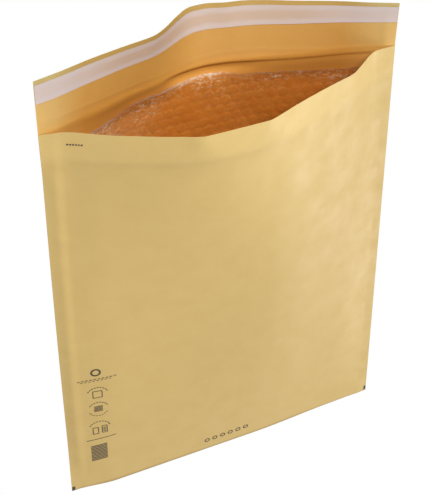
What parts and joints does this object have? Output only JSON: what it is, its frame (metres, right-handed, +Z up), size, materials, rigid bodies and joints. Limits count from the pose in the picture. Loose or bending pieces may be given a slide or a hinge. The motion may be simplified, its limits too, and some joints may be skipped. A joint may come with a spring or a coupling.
{
  "type": "padded envelope",
  "caption": "Open padded envelope of brown paper with a bubble film lining and a self-seal flap, lying on its back to take a flat item for posting.",
  "frame": {"origin": "middle of the rectangle that the envelope covers on the surface it lies on", "axes": "+X across the envelope to the right as the front is seen, +Y from the bottom fold to the flap, +Z up out of the front"},
  "size_m": [0.37, 0.533, 0.1282],
  "materials": {
    "kraft_paper": "machine-glazed golden brown paper, matt with a faint sheen",
    "bubble_film": "clear polyethylene bubble film over brown paper",
    "hot_melt_glue": "clear tacky glue that shows the paper under it",
    "release_film": "thin translucent pale release film"
  },
  "bodies": {
    "root": {"front_panel": "kraft_paper", "back_panel": "kraft_paper", "closing_flap": "kraft_paper", "bubble_lining": "bubble_film", "adhesive_strip": "hot_melt_glue", "release_liner": "release_film"}
  },
  "joints": []
}
